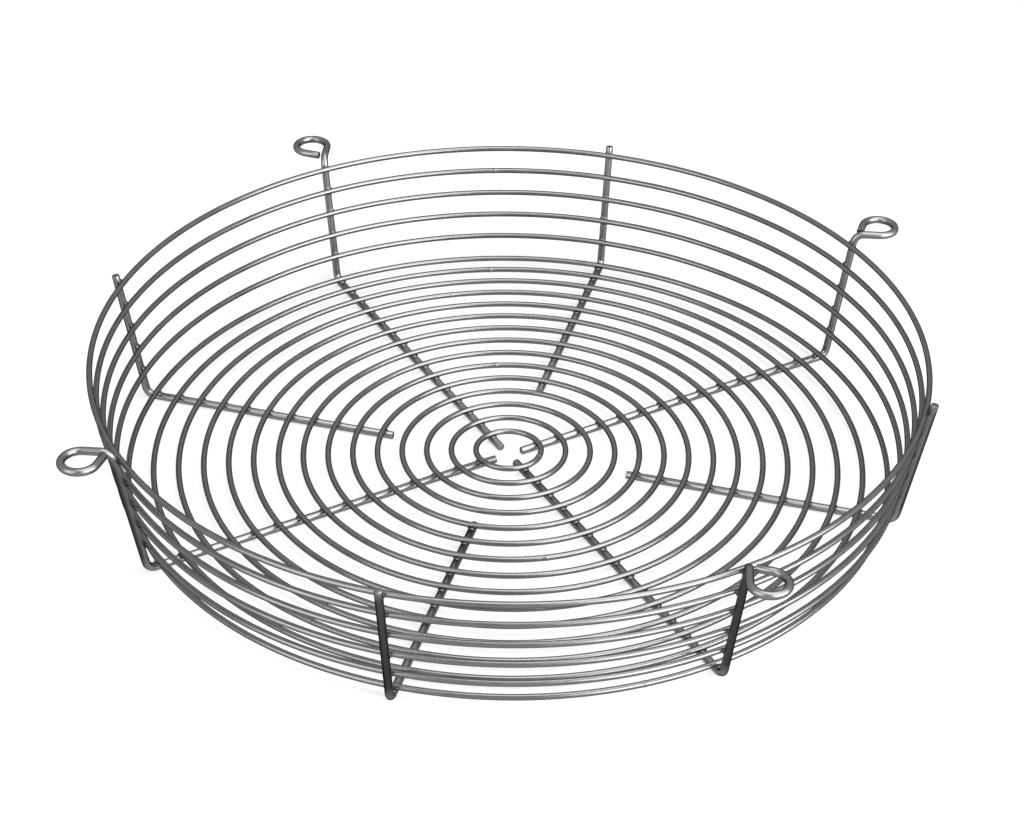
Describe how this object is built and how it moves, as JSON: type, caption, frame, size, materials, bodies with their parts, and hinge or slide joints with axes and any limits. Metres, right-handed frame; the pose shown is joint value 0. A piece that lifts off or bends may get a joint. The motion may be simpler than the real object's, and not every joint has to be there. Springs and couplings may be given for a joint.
{
  "type": "axial fan guard",
  "caption": "Round basket-shaped wire guard for an axial fan: concentric rings welded inside bent ribs, some of them curled into eyelets for bolts.",
  "frame": {"origin": "on the fan's axis, at the level of the undersides of the ribs, which the guard lies on", "axes": "+Z along the fan's axis, out of the open side of the basket towards the fan; +X and +Y through two of the eyelets"},
  "size_m": [0.471, 0.471, 0.0758],
  "materials": {
    "ring_wire": "drawn steel wire, satin zinc plated after welding",
    "rib_wire": "drawn steel wire, satin zinc plated after welding"
  },
  "bodies": {
    "root": {"disc_ring_01": "ring_wire", "disc_ring_02": "ring_wire", "disc_ring_03": "ring_wire", "disc_ring_04": "ring_wire", "disc_ring_05": "ring_wire", "disc_ring_06": "ring_wire", "disc_ring_07": "ring_wire", "disc_ring_08": "ring_wire", "disc_ring_09": "ring_wire", "disc_ring_10": "ring_wire", "disc_ring_11": "ring_wire", "disc_ring_12": "ring_wire", "disc_ring_13": "ring_wire", "disc_ring_14": "ring_wire", "disc_ring_15": "ring_wire", "wall_ring_1": "ring_wire", "wall_ring_2": "ring_wire", "wall_ring_3": "ring_wire", "wall_ring_4": "ring_wire", "rim_ring": "ring_wire", "eyelet_rib_1": "rib_wire", "eyelet_rib_2": "rib_wire", "eyelet_rib_3": "rib_wire", "eyelet_rib_4": "rib_wire", "short_rib_1": "rib_wire", "short_rib_2": "rib_wire", "short_rib_3": "rib_wire", "short_rib_4": "rib_wire"}
  },
  "joints": []
}
